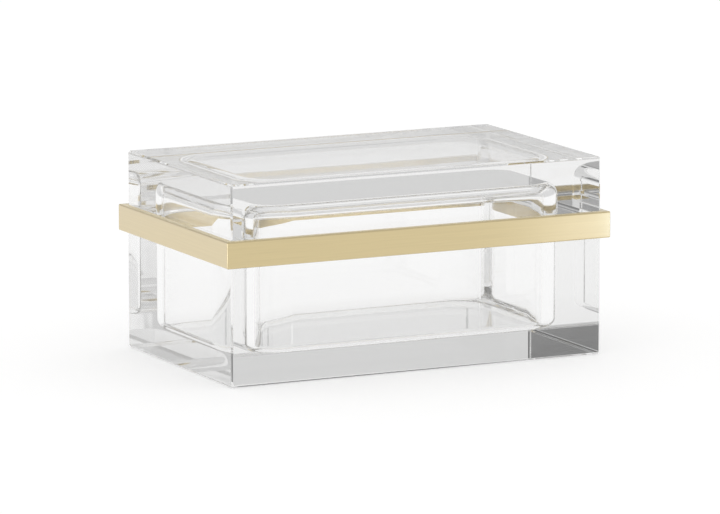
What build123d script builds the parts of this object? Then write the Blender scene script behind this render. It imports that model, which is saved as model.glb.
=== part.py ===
"""A clear acrylic storage box: a thick block body, a lift-off lid, and four mitred brass bars
that make a band round the rim. Millimetres, +Z up, origin in the middle of the underside."""
import os

from build123d import *

# The acrylic block, which the body and the lid make up together
block_length = 203.6
block_depth = 122.6
body_height = 68.9
lid_height = 31.1
edge_bevel = 0.9

# The hollow in the body
body_end_wall = 15.5
body_long_wall = 12.3
body_floor = 13.0
body_corner_radius = 22.0
body_floor_radius = 4.5
body_mouth_bevel = 0.5

# The hollow in the underside of the lid
lid_end_wall = 14.65
lid_long_wall = 11.45
lid_roof = 13.7
lid_corner_radius = 22.0
lid_roof_radius = 7.0
lid_mouth_bevel = 0.5

# How the lid sits in the band: a free gap on each side, and a wide bevel that leads it in
lid_slack = 0.15
lid_lead_bevel = 1.4

# The brass band, bonded round the body and standing above its rim to hold the lid in place
band_height = 13.3
band_thickness = 3.55
band_rise = 3.7
band_edge_bevel = 0.35

lid_length = block_length - 2 * lid_slack
lid_depth = block_depth - 2 * lid_slack
band_bottom = body_height + band_rise - band_height

os.makedirs("parts", exist_ok=True)

# The body: a bevelled block with a round-cornered hollow, radiused all round its floor
with BuildPart() as body:
    with BuildSketch():
        Rectangle(block_length, block_depth)
    extrude(amount=body_height)
    chamfer(body.edges(), length=edge_bevel)
    with BuildSketch(Plane.XY.offset(body_floor)):
        RectangleRounded(
            block_length - 2 * body_end_wall,
            block_depth - 2 * body_long_wall,
            body_corner_radius,
        )
    extrude(amount=body_height - body_floor, mode=Mode.SUBTRACT)
    fillet(body.edges(Select.LAST).group_by(Axis.Z)[0], radius=body_floor_radius)
    body_rim = body.faces().sort_by(Axis.Z)[-1]
    chamfer(body_rim.inner_wires()[0].edges(), length=body_mouth_bevel)
body.part.label = "body"
export_step(body.part, "parts/body.step")

# The lid: the same form upside down, a little smaller in plan, so that it drops into the band
with BuildPart() as lid:
    with BuildSketch(Plane.XY.offset(body_height)):
        Rectangle(lid_length, lid_depth)
    extrude(amount=lid_height)
    chamfer(lid.edges().group_by(Axis.Z)[1:], length=edge_bevel)
    chamfer(lid.faces().sort_by(Axis.Z)[0].edges(), length=lid_lead_bevel)
    with BuildSketch(Plane.XY.offset(body_height)):
        RectangleRounded(
            lid_length - 2 * lid_end_wall,
            lid_depth - 2 * lid_long_wall,
            lid_corner_radius,
        )
    extrude(amount=lid_height - lid_roof, mode=Mode.SUBTRACT)
    fillet(lid.edges(Select.LAST).group_by(Axis.Z)[-1], radius=lid_roof_radius)
    lid_rim = lid.faces().sort_by(Axis.Z)[0]
    chamfer(lid_rim.inner_wires()[0].edges(), length=lid_mouth_bevel)
lid.part.label = "lid"
export_step(lid.part, "parts/lid.step")

# The band: one bar on each wall of the body, its inner face on the wall and its ends mitred.
# In order round the box from the front, each entry is a wall's length and the box's size across it.
band_walls = {
    "band_front": (block_length, block_depth),
    "band_right": (block_depth, block_length),
    "band_rear": (block_length, block_depth),
    "band_left": (block_depth, block_length),
}
for index, (name, (wall_length, across)) in enumerate(band_walls.items()):
    turn = 360 * index / len(band_walls)
    with BuildPart() as bar:
        with BuildSketch(Plane.XY.offset(band_bottom).rotated((0, 0, turn))):
            with BuildLine():
                half_inner = wall_length / 2
                half_outer = half_inner + band_thickness
                wall_y = -across / 2
                outer_y = wall_y - band_thickness
                Polyline(
                    (-half_inner, wall_y),
                    (-half_outer + band_edge_bevel / 2, outer_y + band_edge_bevel / 2),
                    (-half_outer + band_edge_bevel, outer_y),
                    (half_outer - band_edge_bevel, outer_y),
                    (half_outer - band_edge_bevel / 2, outer_y + band_edge_bevel / 2),
                    (half_inner, wall_y),
                    close=True,
                )
            make_face()
        extrude(amount=band_height)
        outer_face = bar.faces().sort_by(SortBy.AREA)[-1]
        chamfer(outer_face.edges().filter_by(Axis.Z, reverse=True), length=band_edge_bevel)
    bar.part.label = name
    export_step(bar.part, "parts/" + name + ".step")
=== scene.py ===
"""Dresses the clear acrylic storage box and sets a white studio round it. Metres, +Z up."""

import math
from typing import NamedTuple

import bmesh
import bpy
from bpy.props import FloatProperty, FloatVectorProperty, IntProperty, PointerProperty
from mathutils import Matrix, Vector


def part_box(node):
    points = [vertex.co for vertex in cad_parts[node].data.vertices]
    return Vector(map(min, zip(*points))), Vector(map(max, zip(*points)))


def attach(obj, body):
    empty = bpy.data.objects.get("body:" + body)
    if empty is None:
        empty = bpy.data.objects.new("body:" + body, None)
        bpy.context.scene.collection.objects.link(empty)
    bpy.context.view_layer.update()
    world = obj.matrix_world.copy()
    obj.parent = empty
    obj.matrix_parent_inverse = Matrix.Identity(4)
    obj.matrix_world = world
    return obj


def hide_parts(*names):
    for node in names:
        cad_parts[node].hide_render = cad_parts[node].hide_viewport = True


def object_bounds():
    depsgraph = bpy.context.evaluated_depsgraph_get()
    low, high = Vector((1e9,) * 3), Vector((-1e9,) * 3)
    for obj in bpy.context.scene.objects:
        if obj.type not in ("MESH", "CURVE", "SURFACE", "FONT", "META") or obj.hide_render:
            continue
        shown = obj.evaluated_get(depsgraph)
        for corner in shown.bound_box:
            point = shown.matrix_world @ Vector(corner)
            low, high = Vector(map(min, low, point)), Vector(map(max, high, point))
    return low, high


bl_info = {
    "name": "Acrylic Storage Box",
    "version": (1, 0, 0),
    "blender": (4, 5, 0),
    "location": "View3D > Sidebar > Acrylic Box",
    "description": "Clear acrylic box with a lift-off lid and a mitred brass band",
    "category": "Object",
}

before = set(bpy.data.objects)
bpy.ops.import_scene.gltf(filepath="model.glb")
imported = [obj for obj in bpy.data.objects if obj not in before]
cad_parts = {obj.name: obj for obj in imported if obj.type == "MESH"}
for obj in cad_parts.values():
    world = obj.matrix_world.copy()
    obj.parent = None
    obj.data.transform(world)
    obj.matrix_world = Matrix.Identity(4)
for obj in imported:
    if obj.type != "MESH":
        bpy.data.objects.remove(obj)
cad_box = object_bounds()

MM = 0.001
CLEAR_ACRYLIC = "clear acrylic"  # the one material that the body and the lid share
PHOTO_WIDTH = 720  # pixels
SENSOR_WIDTH = 36  # mm
CAMERA_REACH = 100  # metres
PATHS_IN_ACRYLIC = 128  # times that light may turn in the thick acrylic, so its corners stay light
TOUCH = 1e-6  # a point this near a plane lies on it
BOX_CORNER_EDGES = 4  # edges at a corner of the rim, with the one that joins it to the hollow
SQUARE_EDGE = math.radians(60)  # an edge at least this sharp hasn't been bevelled yet
BEVELLED_EDGE = math.radians(30)  # an edge at least this sharp bounds a flat bevel
CREASE = math.radians(35)  # an edge sharper than this keeps its crease
LARGE_FACES_RULE = 100  # of 100, how far large faces outweigh small ones in a shared normal


def length(name, description, default):
    """A size in metres, for a settings group."""
    return FloatProperty(name=name, description=description, default=default, min=0, unit="LENGTH")


def angle(name, description, degrees):
    """An angle, given in degrees, for a settings group."""
    return FloatProperty(
        name=name, description=description, default=math.radians(degrees), subtype="ANGLE"
    )


def share(name, description, default):
    """A number from 0 to 1, for a settings group."""
    return FloatProperty(
        name=name, description=description, default=default, min=0, max=1, subtype="FACTOR"
    )


def colour(name, description, default):
    """A linear colour, for a settings group."""
    return FloatVectorProperty(
        name=name, description=description, default=default, min=0, max=1, size=3, subtype="COLOR"
    )


def count(name, description, default):
    """A number of faces, for a settings group."""
    return IntProperty(name=name, description=description, default=default, min=1)


class BodySizes(bpy.types.PropertyGroup):
    """The hollow and the edges of the acrylic body."""

    end_wall: length("End Wall", "Thickness of the two end walls", 15.5 * MM)
    long_wall: length("Long Wall", "Thickness of the front and rear walls", 12.3 * MM)
    slab: length("Floor", "Thickness under the hollow", 13.0 * MM)
    corner_radius: length("Corner Radius", "Radius of the hollow's corners in plan", 22.0 * MM)
    slab_radius: length("Floor Radius", "Radius all round the hollow's floor", 4.5 * MM)
    mouth_radius: length("Mouth Radius", "Softened edge round the hollow's mouth", 0.5 * MM)
    edge_bevel: length("Edge Bevel", "Polished flat along the outer edges", 0.9 * MM)
    rim_bevel: length("Rim Bevel", "Polished flat round the rim's outer edge", 0.9 * MM)
    seam: length("Seam", "Air left at the mouth, under the lid", 0)


class LidSizes(bpy.types.PropertyGroup):
    """The hollow and the edges of the acrylic lid."""

    end_wall: length("End Wall", "Thickness of the two end walls", 14.65 * MM)
    long_wall: length("Long Wall", "Thickness of the front and rear walls", 11.45 * MM)
    slab: length("Roof", "Thickness over the hollow", 13.7 * MM)
    corner_radius: length("Corner Radius", "Radius of the hollow's corners in plan", 22.0 * MM)
    slab_radius: length("Roof Radius", "Radius all round the hollow's roof", 7.0 * MM)
    mouth_radius: length("Mouth Radius", "Softened edge round the hollow's mouth", 0.5 * MM)
    edge_bevel: length("Edge Bevel", "Polished flat along the outer edges", 0.9 * MM)
    rim_bevel: length("Lead-in Bevel", "Wide flat that leads the lid into the band", 1.4 * MM)
    seam: length("Seam", "Air left at the mouth, over the body's rim", 0.1 * MM)


class AcrylicFinish(bpy.types.PropertyGroup):
    """The clear cast acrylic of the body and the lid."""

    surface: colour("Surface", "What the two sides of a wall let through", (0.97, 0.97, 0.969))
    surface_change: share("Surface Change", "How far that varies over a face", 0.004)
    depth_tint: colour("Depth Tint", "Colour left in a very thick block", (0.5, 0.5, 0.49))
    depth_density: FloatProperty(
        name="Depth Density", description="How fast a thick block gets darker, per metre", default=2
    )
    ior: FloatProperty(name="IOR", description="Refractive index of cast acrylic", default=1.49)
    corner_steps: count("Corner Steps", "Faces round each corner of a hollow", 36)
    radius_steps: count("Radius Steps", "Faces across the radius of a hollow's floor", 16)
    mouth_steps: count("Mouth Steps", "Faces across the softened edge of a mouth", 4)
    wave_run: length("Wave Run", "Length of the slow waves left by casting and polishing", 30 * MM)
    wave_detail: FloatProperty(name="Wave Detail", description="Finer waves on the slow ones", default=1)
    wave_height: length("Wave Height", "Height of the waves", 0.012 * MM)
    haze: share("Haze", "Greatest roughness of the polished faces", 0.006)
    polish_radius: length("Polish Radius", "Softening along both sides of a flat bevel", 0.18 * MM)
    polish_steps: count("Polish Steps", "Faces across that softening", 3)


class BandFinish(bpy.types.PropertyGroup):
    """The brass band: four mitred bars round the rim."""

    brass: colour("Brass", "Colour of the pale satin brass", (0.67, 0.55, 0.3))
    tone: share("Tone", "How far the strokes lighten and darken the brass", 0.04)
    satin: share("Satin", "Roughness of the brushed face", 0.34)
    satin_change: share("Satin Change", "How far the strokes change the roughness", 0.05)
    lacquer: share("Lacquer", "Strength of the clear lacquer's shine", 1.0)
    lacquer_satin: share("Lacquer Satin", "Roughness of the clear lacquer", 0.25)
    stroke_run: length("Stroke Run", "Length of the fine strokes", 25 * MM)
    stroke_line: length("Stroke Line", "Width of the fine strokes", 0.25 * MM)
    streak_run: length("Streak Run", "Length of the broad streaks", 60 * MM)
    streak_line: length("Streak Line", "Width of the broad streaks", 0.9 * MM)
    stroke_detail: FloatProperty(
        name="Stroke Detail", description="How much finer lines break up the strokes", default=3
    )
    streak_detail: FloatProperty(
        name="Streak Detail", description="How much finer lines break up the streaks", default=2
    )
    contrast_low: FloatProperty(
        name="Contrast Low", description="Sum of both noises at which the brass is darkest", default=0.6
    )
    contrast_high: FloatProperty(
        name="Contrast High", description="Sum of both noises at which it is palest", default=1.4
    )
    scratch_depth: length("Scratch Depth", "Depth of the fine strokes", 0.002 * MM)
    grain_stretch: share("Grain Stretch", "How far the brushing draws out the shine", 0.5)
    grain_turn: share("Grain Turn", "Turn of that stretched shine from the bar's length", 0.25)
    edge_radius: length("Edge Radius", "Softened outer edges of the bars", 0.75 * MM)
    edge_steps: count("Edge Steps", "Faces across the softened edges", 5)
    glue_line: length("Glue Line", "Gap between a bar and the acrylic", 0.05 * MM)
    mitre_line: length("Mitre Line", "Half the hairline at each mitred corner", 0.015 * MM)


class StudioSettings(bpy.types.PropertyGroup):
    """The camera, the floor and the light round the box."""

    camera_turn: angle("Camera Turn", "How far the view looks to the right of straight on", 26.28)
    camera_tilt: angle("Camera Tilt", "How far the view looks down", 9.84)
    camera_distance: length("Camera Distance", "From the camera to what it looks at", 3.0263)
    aim_left: length("Aim Left", "How far left of the middle the camera looks", 1.8 * MM)
    aim_drop: length("Aim Drop", "How far under the middle the camera looks", 2.5 * MM)
    lens_pixels: FloatProperty(
        name="Lens", description="Focal length in pixels of the photograph's width", default=6044.4
    )
    floor_half: length("Floor Half Width", "From the box to the floor's edge", 6.0)
    floor_gap: length("Floor Gap", "Air between the floor and the box", 0.35 * MM)
    floor_white: colour("Floor", "Colour of the white floor", (0.9, 0.9, 0.9))
    floor_glow: share("Floor Glow", "Even white that the eye sees besides the lit floor", 0.56)
    floor_lit: share("Floor Lit", "White that the eye sees where the light reaches", 0.6)
    under_glow: share("Glow Through Acrylic", "The even white as seen through the acrylic", 0.8)
    under_lit: share("Lit Through Acrylic", "The lit white as seen through the acrylic", 0.29)
    low_light: share("Low Light", "Light from the horizon and below it", 1.0)
    wall_light: share("Wall Light", "Light from the grey studio walls", 0.74)
    top_light: share("Top Light", "Light from overhead", 0.8)
    walls_start: angle("Walls Start", "Height at which the grey walls begin", 3.0)
    walls_full: angle("Walls Full", "Height at which the walls have their full grey", 7.0)
    top_start: angle("Top Starts", "Height at which the walls begin to lighten", 35.0)
    top_full: angle("Top Full", "Height at which the light is that from overhead", 65.0)


class Card(NamedTuple):
    """A soft-edged card in the studio, as seen from the box. Angles are in degrees."""

    turn: float  # to the right of straight back
    height: float  # above the horizon
    reach: float  # from its middle to its edge
    softness: float  # over which its edge fades
    light: float  # the light that comes from it


DARK_REAR_LEFT = Card(turn=-30.5, height=13.9, reach=5, softness=1.8, light=0.19)
DARK_REAR_HIGH = Card(turn=-14, height=26.9, reach=3.3, softness=0.9, light=0.12)
BRIGHT_REAR_LEFT = Card(turn=-33, height=37.2, reach=2.7, softness=0.7, light=1.25)
DARK_REAR = Card(turn=1.4, height=11.2, reach=1.9, softness=1, light=0.1)
DARK_REAR_RIGHT = Card(turn=27.2, height=18.6, reach=1.5, softness=0.8, light=0.2)
DARK_RIGHT = Card(turn=52.4, height=10.3, reach=1, softness=0.4, light=0.23)
BRIGHT_REAR_SLIT = Card(turn=23.8, height=10.5, reach=0.43, softness=0.12, light=1.1)
BRIGHT_FRONT_SLIT = Card(turn=155.3, height=11.3, reach=0.43, softness=0.12, light=1)
DARK_TOP_LEFT = Card(turn=-109.7, height=61.7, reach=2.2, softness=0.7, light=0.27)
BRIGHT_TOP_RIGHT = Card(turn=132, height=74.7, reach=4.7, softness=1.2, light=1.2)
CAMERA_SIDE = Card(turn=-155.5, height=9.8, reach=5.4, softness=3.9, light=0.43)
BRIGHT_REAR_RIGHT = Card(turn=52, height=52, reach=9, softness=4, light=0.98)
CARDS = (
    DARK_REAR_LEFT,
    DARK_REAR_HIGH,
    BRIGHT_REAR_LEFT,
    DARK_REAR,
    DARK_REAR_RIGHT,
    DARK_RIGHT,
    BRIGHT_REAR_SLIT,
    BRIGHT_FRONT_SLIT,
    DARK_TOP_LEFT,
    BRIGHT_TOP_RIGHT,
    CAMERA_SIDE,
    BRIGHT_REAR_RIGHT,
)


class Lamp(NamedTuple):
    """A lit card that brightens the band alone. Its angles are in degrees."""

    turn: float  # to the right of straight back
    height: float  # above the horizon
    distance: float  # from the band, in metres
    width: float  # in metres
    light: float  # as a share of the white floor's light
    tint: tuple  # its linear colour
    aim_x: float  # the place on the band that it is set out from, in half lengths
    aim_y: float  # the same in half depths
    bars: tuple  # the bars that it lights


BAND_SIDES = {"front": (0, -1, 0), "right": (1, 0, 0), "rear": (0, 1, 0), "left": (-1, 0, 0)}
FRONT_BARS = ("front", "left")
REAR_BARS = ("rear", "right")
LAMPS = {
    "front right card": Lamp(
        turn=153, height=-10, distance=0.18, width=0.06,
        light=1.15, tint=(0.62, 0.7, 1), aim_x=1, aim_y=-1, bars=FRONT_BARS,
    ),
    "front right edge": Lamp(
        turn=138, height=-8, distance=0.05, width=0.018,
        light=3.4, tint=(0.4, 0.58, 1), aim_x=1, aim_y=-1, bars=FRONT_BARS,
    ),
    "left corner card": Lamp(
        turn=-75, height=-5, distance=0.3, width=0.12,
        light=3.5, tint=(0.8, 0.85, 1), aim_x=-1, aim_y=-1, bars=FRONT_BARS,
    ),
    "rear left window": Lamp(
        turn=-26, height=-4, distance=0.5, width=0.35,
        light=0.16, tint=(0.15, 0.25, 1), aim_x=-1, aim_y=0, bars=FRONT_BARS,
    ),
    "rear right card": Lamp(
        turn=26, height=12, distance=0.5, width=0.3,
        light=0.18, tint=(1, 0.78, 0.12), aim_x=0, aim_y=0, bars=FRONT_BARS,
    ),
    "front card": Lamp(
        turn=154, height=-9, distance=0.4, width=0.35,
        light=1.0, tint=(1, 1, 1), aim_x=0, aim_y=1, bars=REAR_BARS,
    ),
}


def near(value, place):
    """Whether a coordinate lies at that place."""
    return abs(value - place) < TOUCH


def towards(turn, height):
    """The direction that lies turn degrees to the right of straight back and height above level."""
    turn, height = math.radians(turn), math.radians(height)
    flat = math.cos(height)
    return Vector((math.sin(turn) * flat, math.cos(turn) * flat, math.sin(height)))


def add_node(tree, kind, inputs, **settings):
    """Adds a node. Each input is a plain value or the socket that feeds it."""
    node = tree.nodes.new(kind)
    for key, value in settings.items():
        setattr(node, key, value)
    for key, value in inputs.items():
        if isinstance(value, bpy.types.NodeSocket):
            tree.links.new(value, node.inputs[key])
        else:
            node.inputs[key].default_value = value
    return node


def box_shape(low, high):
    """A plain box between two corners."""
    shape = bmesh.new()
    bmesh.ops.create_cube(shape, size=1.0)
    bmesh.ops.scale(shape, vec=high - low, verts=shape.verts)
    bmesh.ops.translate(shape, vec=(low + high) / 2, verts=shape.verts)
    return shape


def square_edges(shape, test):
    """The edges that are still square and whose ends both pass the test."""
    shape.normal_update()
    return [
        edge
        for edge in shape.edges
        if edge.calc_face_angle(0) > SQUARE_EDGE and all(test(v.co) for v in edge.verts)
    ]


def bevel(shape, edges, size, steps):
    """Rounds these edges, or cuts them flat where there is one step."""
    bmesh.ops.bevel(
        shape,
        geom=edges,
        offset=size,
        offset_type="OFFSET",
        affect="EDGES",
        segments=steps,
        profile=0.5,
        material=-1,
    )


def hollow_block(low, high, opens_up, sizes, finish):
    """A block with bevelled edges and a round-cornered hollow in its top or its underside."""
    shape = box_shape(low, high)
    if opens_up:
        mouth_z, slab_z = high.z, low.z + sizes.slab
    else:
        mouth_z, slab_z = low.z, high.z - sizes.slab
    hollow_x = high.x - sizes.end_wall
    hollow_y = high.y - sizes.long_wall
    mid_wall_x = high.x - sizes.end_wall / 2
    mid_wall_y = high.y - sizes.long_wall / 2

    def inside(co):
        return abs(co.x) < hollow_x + TOUCH and abs(co.y) < hollow_y + TOUCH

    def outside(co):
        return abs(co.x) > mid_wall_x or abs(co.y) > mid_wall_y

    mouth = next(f for f in shape.faces if all(near(v.co.z, mouth_z) for v in f.verts))
    bmesh.ops.inset_region(shape, faces=[mouth], thickness=sizes.end_wall, use_even_offset=True)
    for vert in mouth.verts:
        vert.co.y = math.copysign(hollow_y, vert.co.y)
    slab_face = bmesh.ops.extrude_discrete_faces(shape, faces=[mouth])["faces"][0]
    bmesh.ops.translate(shape, vec=(0, 0, slab_z - mouth_z), verts=slab_face.verts)

    corners = [
        edge
        for edge in shape.edges
        if inside(edge.verts[0].co) and not near(edge.verts[0].co.z, edge.verts[1].co.z)
    ]
    bevel(shape, corners, sizes.corner_radius, finish.corner_steps)
    round_slab = square_edges(shape, lambda co: near(co.z, slab_z))
    bevel(shape, round_slab, sizes.slab_radius, finish.radius_steps)
    round_mouth = square_edges(shape, lambda co: near(co.z, mouth_z) and inside(co))
    bevel(shape, round_mouth, sizes.mouth_radius, finish.mouth_steps)

    thin_fans(shape, mouth_z, outside)
    outline = square_edges(shape, outside)
    bevel(shape, outline, sizes.edge_bevel, 1)
    widen_rim_bevel(shape, mouth_z, slab_z, outside, sizes)
    shape.normal_update()
    bevelled = [e for e in shape.edges if e.calc_face_angle(0) > BEVELLED_EDGE]
    bevel(shape, bevelled, finish.polish_radius, finish.polish_steps)
    return shape


def thin_fans(shape, mouth_z, outside):
    """Joins each corner of the rim to the round corner inside it by one edge.

    Rounding a hollow's corner leaves a hub by the rim's corner, with a fan of edges that would
    keep a bevel from moving the rim's corner inwards."""
    hubs = [
        vert
        for vert in shape.verts
        if near(vert.co.z, mouth_z) and outside(vert.co) and len(vert.link_edges) > BOX_CORNER_EDGES
    ]
    for hub in hubs:
        spokes = [e for e in hub.link_edges if not outside(e.other_vert(hub).co)]
        spokes.sort(key=lambda edge: abs(edge.other_vert(hub).co.x))
        del spokes[len(spokes) // 2]
        bmesh.ops.dissolve_edges(shape, edges=spokes, use_verts=False)
    bmesh.ops.dissolve_verts(shape, verts=hubs)


def widen_rim_bevel(shape, mouth_z, slab_z, outside, sizes):
    """Widens the flat round the mouth's outer edge from the edge bevel to the rim bevel."""
    extra = sizes.rim_bevel - sizes.edge_bevel
    inwards = math.copysign(1, slab_z - mouth_z)
    wall_z = mouth_z + inwards * sizes.edge_bevel
    on_rim = [v for v in shape.verts if near(v.co.z, mouth_z) and outside(v.co)]
    on_wall = [v for v in shape.verts if near(v.co.z, wall_z) and outside(v.co)]
    rim_x, rim_y = on_rim[0].co.xy.to_tuple()
    narrower = (1 - extra / abs(rim_x), 1 - extra / abs(rim_y), 1)
    bmesh.ops.scale(shape, vec=narrower, verts=on_rim)
    bmesh.ops.translate(shape, vec=(0, 0, inwards * extra), verts=on_wall)


def mitred_bar(band_low, band_high, outward, wall, finish):
    """One bar of the band: a softened box the size of the band, cut back to one wall.

    outward points away from the box, and wall holds the half sizes of the acrylic in plan."""
    bar = box_shape(band_low, band_high)
    bevel(bar, square_edges(bar, lambda co: True), finish.edge_radius, finish.edge_steps)
    along = outward.cross(Vector((0, 0, 1)))
    corner = Vector((wall.x, wall.y, 0)) + Vector((1, 1, 0)) * finish.glue_line
    face = outward * abs(corner.dot(outward))
    half_run = along * abs(corner.dot(along))
    cuts = [(face, -outward)]
    for end in (half_run, -half_run):
        across = (end.normalized() - outward).normalized()
        cuts.append((face + end - across * finish.mitre_line, across))
    for place, away in cuts:
        everything = list(bar.verts) + list(bar.edges) + list(bar.faces)
        cut = bmesh.ops.bisect_plane(
            bar, geom=everything, dist=TOUCH, plane_co=place, plane_no=away, clear_outer=True
        )
        rim = [e for e in cut["geom_cut"] if isinstance(e, bmesh.types.BMEdge)]
        bmesh.ops.edgeloop_fill(bar, edges=rim)
    bmesh.ops.recalc_face_normals(bar, faces=bar.faces)

    grain = bar.loops.layers.uv.new("grain")
    for face in bar.faces:
        for loop in face.loops:
            co = loop.vert.co
            loop[grain].uv = (co.dot(along), co.z + co.dot(outward))
    return bar


def new_piece(name, shape, material, body, node):
    """Makes a finished shape a piece that rides on a body and stands for its CAD node."""
    mesh = bpy.data.meshes.new(name)
    shape.to_mesh(mesh)
    shape.free()
    mesh.materials.append(material)
    for face in mesh.polygons:
        face.use_smooth = True
    mesh.set_sharp_from_angle(angle=CREASE)
    piece = bpy.data.objects.new(name, mesh)
    bpy.context.scene.collection.objects.link(piece)
    flats = piece.modifiers.new("Flats Stay Flat", "WEIGHTED_NORMAL")
    flats.mode = "FACE_AREA"
    flats.weight = LARGE_FACES_RULE
    flats.keep_sharp = True
    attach(piece, body)
    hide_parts(node)
    return piece


def new_material(name):
    """A material with that name, and its Principled shader."""
    material = bpy.data.materials.new(name)
    material.use_nodes = True
    return material, material.node_tree.nodes["Principled BSDF"]


def two_tones(tree, amount, middle, change):
    """A colour socket that goes from a little under the middle tone to a little over it."""
    tones = [tuple(level * (1 + sign * change) for level in middle) for sign in (-1, 1)]
    tone = tree.nodes.new("ShaderNodeMix")
    tone.data_type = "RGBA"
    tree.links.new(amount, tone.inputs["Factor"])
    for socket, level in zip(("A_Color", "B_Color"), tones):
        next(s for s in tone.inputs if s.identifier == socket).default_value = (*level, 1)
    return next(s for s in tone.outputs if s.identifier == "Result_Color")


def clear_acrylic(finish):
    """Clear cast acrylic, flame-polished, so its faces are very slightly uneven."""
    if CLEAR_ACRYLIC in bpy.data.materials:
        return bpy.data.materials[CLEAR_ACRYLIC]
    material, shader = new_material(CLEAR_ACRYLIC)
    tree = material.node_tree
    place = add_node(tree, "ShaderNodeTexCoord", {}).outputs["Object"]
    inputs = {"Vector": place, "Scale": 1 / finish.wave_run, "Detail": finish.wave_detail}
    waves = add_node(tree, "ShaderNodeTexNoise", inputs).outputs["Fac"]
    tree.links.new(
        two_tones(tree, waves, finish.surface, finish.surface_change), shader.inputs["Base Color"]
    )
    haze = add_node(tree, "ShaderNodeMapRange", {"Value": waves, "To Max": finish.haze})
    tree.links.new(haze.outputs["Result"], shader.inputs["Roughness"])
    uneven = {"Height": waves, "Distance": finish.wave_height, "Strength": 1}
    bump = add_node(tree, "ShaderNodeBump", uneven).outputs["Normal"]
    tree.links.new(bump, shader.inputs["Normal"])
    shader.inputs["IOR"].default_value = finish.ior
    shader.inputs["Transmission Weight"].default_value = 1
    dimming = {"Color": (*finish.depth_tint, 1), "Density": finish.depth_density}
    depth = add_node(tree, "ShaderNodeVolumeAbsorption", dimming)
    tree.links.new(depth.outputs["Volume"], tree.nodes["Material Output"].inputs["Volume"])
    return material


def grain(tree, run, line, detail):
    """Noise drawn out along a bar: each stroke is about run long and line wide."""
    place = add_node(tree, "ShaderNodeUVMap", {}, uv_map="grain").outputs["UV"]
    stretch = {"Vector": place, "Scale": (1 / run, 1 / line, 1)}
    strokes = add_node(tree, "ShaderNodeMapping", stretch).outputs["Vector"]
    inputs = {"Vector": strokes, "Scale": 1, "Detail": detail}
    return add_node(tree, "ShaderNodeTexNoise", inputs, noise_dimensions="2D").outputs["Fac"]


def satin_brass(finish):
    """Pale brass with a satin face, brushed along each bar."""
    material, shader = new_material("satin brass")
    tree = material.node_tree
    strokes = grain(tree, finish.stroke_run, finish.stroke_line, finish.stroke_detail)
    streaks = grain(tree, finish.streak_run, finish.streak_line, finish.streak_detail)

    both = add_node(tree, "ShaderNodeMath", {0: strokes, 1: streaks}, operation="ADD")
    contrast = {
        "Value": both.outputs["Value"],
        "From Min": finish.contrast_low,
        "From Max": finish.contrast_high,
    }
    shade = add_node(tree, "ShaderNodeMapRange", contrast).outputs["Result"]
    tree.links.new(two_tones(tree, shade, finish.brass, finish.tone), shader.inputs["Base Color"])

    satin = {
        "Value": strokes,
        "To Min": finish.satin - finish.satin_change,
        "To Max": finish.satin + finish.satin_change,
    }
    rough = add_node(tree, "ShaderNodeMapRange", satin).outputs["Result"]
    tree.links.new(rough, shader.inputs["Roughness"])
    scratches = {"Height": strokes, "Distance": finish.scratch_depth, "Strength": 1}
    bump = add_node(tree, "ShaderNodeBump", scratches).outputs["Normal"]
    tree.links.new(bump, shader.inputs["Normal"])

    shader.inputs["Metallic"].default_value = 1
    shader.inputs["Coat Weight"].default_value = finish.lacquer
    shader.inputs["Coat Roughness"].default_value = finish.lacquer_satin
    shader.inputs["Anisotropic"].default_value = finish.grain_stretch
    shader.inputs["Anisotropic Rotation"].default_value = finish.grain_turn
    along = add_node(tree, "ShaderNodeTangent", {}, direction_type="UV_MAP", uv_map="grain")
    tree.links.new(along.outputs["Tangent"], shader.inputs["Tangent"])
    return material


class BOX_OT_body(bpy.types.Operator):
    """Make the clear acrylic body of the box"""

    bl_idname = "acrylic_box.body"
    bl_label = "Acrylic Body"

    def execute(self, context):
        scene = context.scene
        low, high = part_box("body")
        high.z -= scene.box_body.seam
        shape = hollow_block(low, high, True, scene.box_body, scene.box_acrylic)
        material = clear_acrylic(scene.box_acrylic)
        new_piece("clear_body", shape, material, "base", "body")
        return {"FINISHED"}


class BOX_OT_lid(bpy.types.Operator):
    """Make the clear acrylic lid of the box"""

    bl_idname = "acrylic_box.lid"
    bl_label = "Acrylic Lid"

    def execute(self, context):
        scene = context.scene
        low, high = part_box("lid")
        low.z += scene.box_lid.seam
        shape = hollow_block(low, high, False, scene.box_lid, scene.box_acrylic)
        material = clear_acrylic(scene.box_acrylic)
        new_piece("clear_lid", shape, material, "lid", "lid")
        return {"FINISHED"}


class BOX_OT_band(bpy.types.Operator):
    """Make the four mitred brass bars of the band"""

    bl_idname = "acrylic_box.band"
    bl_label = "Brass Band"

    def execute(self, context):
        finish = context.scene.box_band
        material = satin_brass(finish)
        front_low, front_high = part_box("band_front")
        left_low, left_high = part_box("band_left")
        band_low = Vector((left_low.x, front_low.y, front_low.z))
        band_high = Vector((-left_low.x, -front_low.y, front_high.z))
        wall = Vector((-left_high.x, -front_high.y))
        for side, outward in BAND_SIDES.items():
            shape = mitred_bar(band_low, band_high, Vector(outward), wall, finish)
            new_piece("brass_bar_" + side, shape, material, "base", "band_" + side)
        return {"FINISHED"}


def visible_ray(tree, path):
    """A socket that is 1 for what the eye sees, straight or in metal or through the acrylic."""
    kinds = ("Is Camera Ray", "Is Glossy Ray", "Is Transmission Ray")
    seen = path.outputs[kinds[0]]
    for kind in kinds[1:]:
        both = {0: seen, 1: path.outputs[kind]}
        seen = add_node(tree, "ShaderNodeMath", both, operation="MAXIMUM").outputs["Value"]
    return seen


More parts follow.
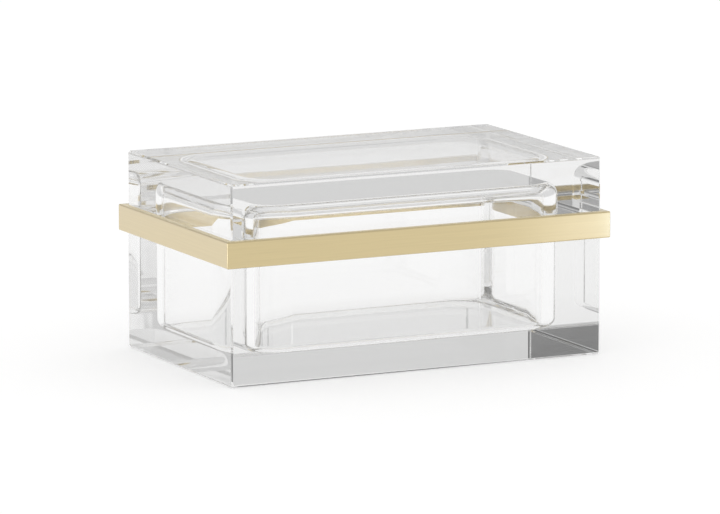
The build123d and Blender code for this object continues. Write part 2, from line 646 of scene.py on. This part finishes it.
def white_floor(studio):
    """Pure white to the eye where nothing shades it, with the box's soft shadow."""
    material, shader = new_material("white floor")
    tree = material.node_tree
    shader.inputs["Base Color"].default_value = (*studio.floor_white, 1)
    shader.inputs["Roughness"].default_value = 1
    shader.inputs["Specular IOR Level"].default_value = 0
    path = add_node(tree, "ShaderNodeLightPath", {})
    straight = path.outputs["Is Camera Ray"]
    lit_level = mixed(tree, studio.under_lit, studio.floor_lit, straight)
    glow_level = mixed(tree, studio.under_glow, studio.floor_glow, straight)
    lit = add_node(tree, "ShaderNodeBsdfDiffuse", {"Color": lit_level})
    glow = add_node(tree, "ShaderNodeEmission", {"Strength": glow_level})
    both = add_node(tree, "ShaderNodeAddShader", {0: lit.outputs[0], 1: glow.outputs[0]})
    ways = {0: visible_ray(tree, path), 1: shader.outputs[0], 2: both.outputs[0]}
    shown = add_node(tree, "ShaderNodeMixShader", ways)
    tree.links.new(shown.outputs[0], tree.nodes["Material Output"].inputs["Surface"])
    return material


def make_floor(studio):
    """The white floor under the box."""
    shape = bmesh.new()
    bmesh.ops.create_grid(shape, x_segments=1, y_segments=1, size=studio.floor_half)
    bmesh.ops.translate(shape, vec=(0, 0, -studio.floor_gap), verts=shape.verts)
    mesh = bpy.data.meshes.new("floor")
    shape.to_mesh(mesh)
    shape.free()
    mesh.materials.append(white_floor(studio))
    floor = bpy.data.objects.new("floor", mesh)
    bpy.context.scene.collection.objects.link(floor)


def smooth_step(tree, value, start, end):
    """A socket that goes smoothly from 0 at start to 1 at end."""
    inputs = {"Value": value, "From Min": start, "From Max": end}
    step = add_node(tree, "ShaderNodeMapRange", inputs, interpolation_type="SMOOTHSTEP")
    return step.outputs["Result"]


def mixed(tree, under, over, amount):
    """A socket that goes from one number to another by that amount."""
    inputs = {"Factor": amount, "A": under, "B": over}
    return add_node(tree, "ShaderNodeMix", inputs).outputs["Result"]


def with_card(tree, light, direction, card):
    """The light with a card added to it."""
    middle = towards(card.turn, card.height)
    facing = add_node(
        tree, "ShaderNodeVectorMath", {0: direction, 1: middle}, operation="DOT_PRODUCT"
    )
    outside = math.cos(math.radians(card.reach + card.softness))
    inside = math.cos(math.radians(card.reach - card.softness))
    amount = smooth_step(tree, facing.outputs["Value"], outside, inside)
    return mixed(tree, light, card.light, amount)


def make_sky(studio):
    """The light all round: white low down, grey walls above, and a few cards."""
    world = bpy.data.worlds.new("studio")
    world.use_nodes = True
    bpy.context.scene.world = world
    tree = world.node_tree
    direction = add_node(tree, "ShaderNodeTexCoord", {}).outputs["Generated"]
    height = add_node(tree, "ShaderNodeSeparateXYZ", {"Vector": direction}).outputs["Z"]
    walls = smooth_step(tree, height, math.sin(studio.walls_start), math.sin(studio.walls_full))
    light = mixed(tree, studio.low_light, studio.wall_light, walls)
    top = smooth_step(tree, height, math.sin(studio.top_start), math.sin(studio.top_full))
    light = mixed(tree, light, studio.top_light, top)
    for card in CARDS:
        light = with_card(tree, light, direction, card)
    tree.links.new(light, tree.nodes["Background"].inputs["Color"])


def bar_group(name, sides):
    """A group of the band's bars, for a lamp."""
    group = bpy.data.collections.new(name)
    for side in sides:
        group.objects.link(bpy.data.objects["brass_bar_" + side])
    return group


def make_lamp(name, lamp):
    """A lit card that brightens the band alone."""
    light = bpy.data.lights.new(name, "AREA")
    light.size = lamp.width
    light.energy = lamp.light * math.pi * lamp.width ** 2
    light.color = lamp.tint
    holder = bpy.data.objects.new(name, light)
    away = towards(lamp.turn, lamp.height) * lamp.distance
    half_x, half_y = cad_box[1].x, cad_box[1].y
    band_z = (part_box("band_front")[0].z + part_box("band_front")[1].z) / 2
    holder.location = away + Vector((lamp.aim_x * half_x, lamp.aim_y * half_y, band_z))
    holder.rotation_euler = away.to_track_quat("Z", "Y").to_euler()
    bpy.context.scene.collection.objects.link(holder)
    holder.light_linking.receiver_collection = bar_group(name + " lights", lamp.bars)
    holder.light_linking.blocker_collection = bar_group(name + " is kept out by", BAND_SIDES)


def make_camera(studio):
    """The camera at the photograph's viewing angle."""
    turn, tilt = studio.camera_turn, studio.camera_tilt
    right = Vector((math.cos(turn), -math.sin(turn), 0))
    ahead = Vector((math.sin(turn), math.cos(turn), 0)) * math.cos(tilt)
    ahead.z = -math.sin(tilt)
    up = right.cross(ahead)
    centre = (cad_box[0] + cad_box[1]) / 2
    aim = centre - right * studio.aim_left - up * studio.aim_drop
    camera = bpy.data.cameras.new("camera")
    camera.sensor_width = SENSOR_WIDTH
    camera.lens = studio.lens_pixels * SENSOR_WIDTH / PHOTO_WIDTH
    camera.clip_end = CAMERA_REACH
    holder = bpy.data.objects.new("camera", camera)
    holder.location = aim - ahead * studio.camera_distance
    holder.rotation_euler = (math.pi / 2 - tilt, 0, -turn)
    bpy.context.scene.collection.objects.link(holder)
    bpy.context.scene.camera = holder


class BOX_OT_studio(bpy.types.Operator):
    """Make the camera, the white floor and the light"""

    bl_idname = "acrylic_box.studio"
    bl_label = "White Studio"

    def execute(self, context):
        scene = context.scene
        make_camera(scene.box_studio)
        make_floor(scene.box_studio)
        make_sky(scene.box_studio)
        for name, lamp in LAMPS.items():
            make_lamp(name, lamp)
        scene.view_settings.view_transform = "Standard"
        scene.cycles.max_bounces = PATHS_IN_ACRYLIC
        scene.cycles.transmission_bounces = PATHS_IN_ACRYLIC
        scene.cycles.glossy_bounces = PATHS_IN_ACRYLIC
        return {"FINISHED"}


class VIEW3D_PT_acrylic_box(bpy.types.Panel):
    """Lists the pieces of the box and the studio"""

    bl_label = "Acrylic Box"
    bl_category = "Acrylic Box"
    bl_space_type = "VIEW_3D"
    bl_region_type = "UI"

    def draw(self, context):
        for operator in OPERATORS:
            self.layout.operator(operator.bl_idname)
        for group, choices in SETTINGS.items():
            settings = getattr(context.scene, group)
            for name in choices.__annotations__:
                self.layout.prop(settings, name)


OPERATORS = (BOX_OT_body, BOX_OT_lid, BOX_OT_band, BOX_OT_studio)
SETTINGS = {
    "box_body": BodySizes,
    "box_lid": LidSizes,
    "box_acrylic": AcrylicFinish,
    "box_band": BandFinish,
    "box_studio": StudioSettings,
}


def register():
    for cls in (*SETTINGS.values(), *OPERATORS, VIEW3D_PT_acrylic_box):
        bpy.utils.register_class(cls)
    for name, cls in SETTINGS.items():
        setattr(bpy.types.Scene, name, PointerProperty(type=cls))


def unregister():
    for name in SETTINGS:
        delattr(bpy.types.Scene, name)
    for cls in (VIEW3D_PT_acrylic_box, *OPERATORS, *SETTINGS.values()):
        bpy.utils.unregister_class(cls)


def main():
    register()
    bpy.ops.acrylic_box.body()
    bpy.ops.acrylic_box.lid()
    bpy.ops.acrylic_box.band()
    bpy.ops.acrylic_box.studio()


if __name__ == "__main__":
    main()
